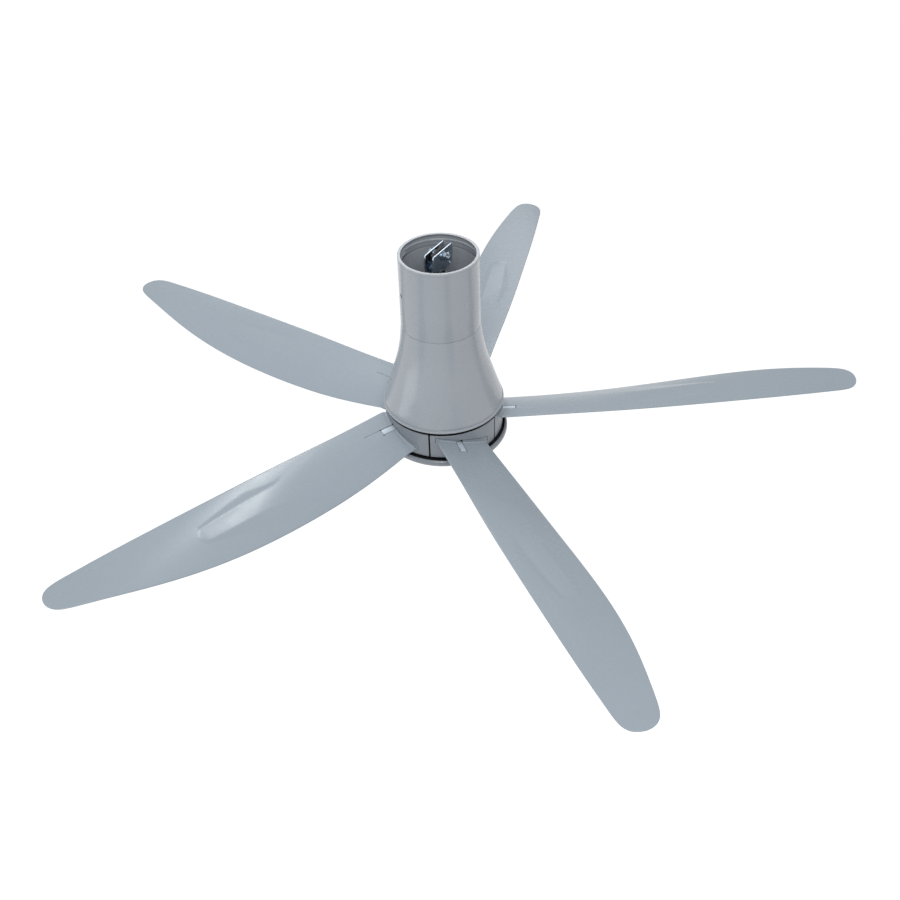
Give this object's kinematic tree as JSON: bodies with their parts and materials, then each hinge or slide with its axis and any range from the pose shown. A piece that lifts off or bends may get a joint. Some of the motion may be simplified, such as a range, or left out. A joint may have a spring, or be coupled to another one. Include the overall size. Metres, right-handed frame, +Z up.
{
  "type": "ceiling fan",
  "caption": "Short hanging ceiling fan: tapered canopy with a steel hanger inside, hub ring with slotted sockets, long twisted blades and a flat round bottom cover.",
  "frame": {"origin": "the point where the ceiling hook bears, under the rubber saddle, on the fan's axis", "axes": "+Z up along the fan's axis, +Y along the hanger bolt towards its head, +X along the hanger bracket's cheeks"},
  "size_m": [1.4293, 1.376, 0.3729],
  "materials": {
    "moulded_shell": "satin injection-moulded plastic, light silver grey",
    "blade_plastic": "satin moulded plastic, light blue-grey with a faint grain",
    "hub_plastic": "satin moulded plastic, silver grey",
    "zinc_steel": "bright bluish zinc plate on sheet steel and fasteners",
    "spring_steel": "bright zinc-plated spring strip",
    "rubber": "matt black rubber",
    "pipe_steel": "zinc-plated steel pipe, satin",
    "cast_coupling": "sand-blasted aluminium casting",
    "shaft_steel": "ground steel shaft and bearing rings",
    "ball_steel": "polished bearing steel",
    "cage_brass": "pressed brass",
    "lamination": "stacked lamination steel, dark varnish",
    "copper": "varnished copper winding",
    "magnet": "ferrite magnet, matt dark grey",
    "rotor_metal": "pressed sheet, satin",
    "box_plastic": "white flame-retardant plastic",
    "board_green": "solder-masked circuit board",
    "board_black": "black component bodies",
    "terminal_plastic": "off-white terminal block",
    "lead_cover": "grey cable sheath",
    "lens_dark": "dark infrared window"
  },
  "bodies": {
    "saddle": {"rubber_saddle": "rubber"},
    "hanger": {"hanger_bracket": "zinc_steel", "saddle_sleeve": "zinc_steel", "hanger_bolt": "zinc_steel", "hanger_nut": "zinc_steel", "hanger_washers": "zinc_steel", "split_pins": "zinc_steel", "down_pipe": "pipe_steel", "motor_coupling": "cast_coupling", "coupling_bolt": "zinc_steel", "coupling_nut": "zinc_steel", "carrier_plate": "zinc_steel", "carrier_screws": "zinc_steel", "lower_canopy": "moulded_shell", "canopy_screws": "zinc_steel", "control_box": "box_plastic", "control_box_lid": "box_plastic", "box_screws": "zinc_steel", "control_board": "board_green", "board_parts": "board_black", "terminal_block": "terminal_plastic", "motor_shaft": "shaft_steel", "bearing_inner_rings": "shaft_steel", "stator_hub": "cast_coupling", "stator_core": "lamination", "stator_windings": "copper", "lead_bundle": "lead_cover", "cover_bracket": "zinc_steel", "cover_nut": "zinc_steel", "bottom_cover": "moulded_shell", "receiver_board": "board_green", "receiver_lens": "lens_dark"},
    "canopy_tube": {"upper_canopy": "moulded_shell"},
    "rotor": {"rotor_cup": "rotor_metal", "rotor_cover": "rotor_metal", "rotor_cover_screws": "zinc_steel", "magnet_ring": "magnet", "bearing_outer_rings": "shaft_steel", "socket_screws": "zinc_steel", "latch_rivets": "zinc_steel", "blade_socket_1": "hub_plastic", "blade_socket_2": "hub_plastic", "blade_socket_3": "hub_plastic", "blade_socket_4": "hub_plastic", "blade_socket_5": "hub_plastic", "blade_1": "blade_plastic", "blade_2": "blade_plastic", "blade_3": "blade_plastic", "blade_4": "blade_plastic", "blade_5": "blade_plastic"},
    "ball_set": {"bearing_balls": "ball_steel", "bearing_cages": "cage_brass"},
    "latch_1": {"latch_1": "spring_steel"},
    "latch_2": {"latch_2": "spring_steel"},
    "latch_3": {"latch_3": "spring_steel"},
    "latch_4": {"latch_4": "spring_steel"},
    "latch_5": {"latch_5": "spring_steel"}
  },
  "joints": [
    {"name": "hanger_swing", "type": "hinge", "parent": "saddle", "child": "hanger", "pos_m": [0, 0, 0.013], "axis": [0, 1, 0], "range_deg": [-8, 8]},
    {"name": "canopy_slide", "type": "slide", "parent": "hanger", "child": "canopy_tube", "axis": [0, 0, 1], "range_m": [0, 0.04]},
    {"name": "rotor_spin", "type": "hinge", "parent": "hanger", "child": "rotor", "pos_m": [0, 0, -0.3], "axis": [0, 0, 1], "continuous": true},
    {"name": "ball_orbit", "type": "hinge", "parent": "hanger", "child": "ball_set", "pos_m": [0, 0, -0.29], "axis": [0, 0, 1], "continuous": true},
    {"name": "latch_1_lift", "type": "hinge", "parent": "rotor", "child": "latch_1", "pos_m": [0.09201, 0.01546, -0.30094], "axis": [0.2334, -0.9291, 0.2869], "range_deg": [0, 4], "stiffness_Nm_per_rad": 2},
    {"name": "latch_2_lift", "type": "hinge", "parent": "rotor", "child": "latch_2", "pos_m": [0.01372, 0.09228, -0.30094], "axis": [0.9557, -0.0652, 0.2869], "range_deg": [0, 4], "stiffness_Nm_per_rad": 2},
    {"name": "latch_3_lift", "type": "hinge", "parent": "rotor", "child": "latch_3", "pos_m": [-0.08352, 0.04157, -0.30094], "axis": [0.3573, 0.8888, 0.2869], "range_deg": [0, 4], "stiffness_Nm_per_rad": 2},
    {"name": "latch_4_lift", "type": "hinge", "parent": "rotor", "child": "latch_4", "pos_m": [-0.06534, -0.06659, -0.30094], "axis": [-0.7349, 0.6145, 0.2869], "range_deg": [0, 4], "stiffness_Nm_per_rad": 2},
    {"name": "latch_5_lift", "type": "hinge", "parent": "rotor", "child": "latch_5", "pos_m": [0.04314, -0.08272, -0.30094], "axis": [-0.8115, -0.5091, 0.2869], "range_deg": [0, 4], "stiffness_Nm_per_rad": 2}
  ],
  "couplings": [
    {"joint": "ball_orbit", "follows": "rotor_spin", "ratio": 0.619}
  ]
}
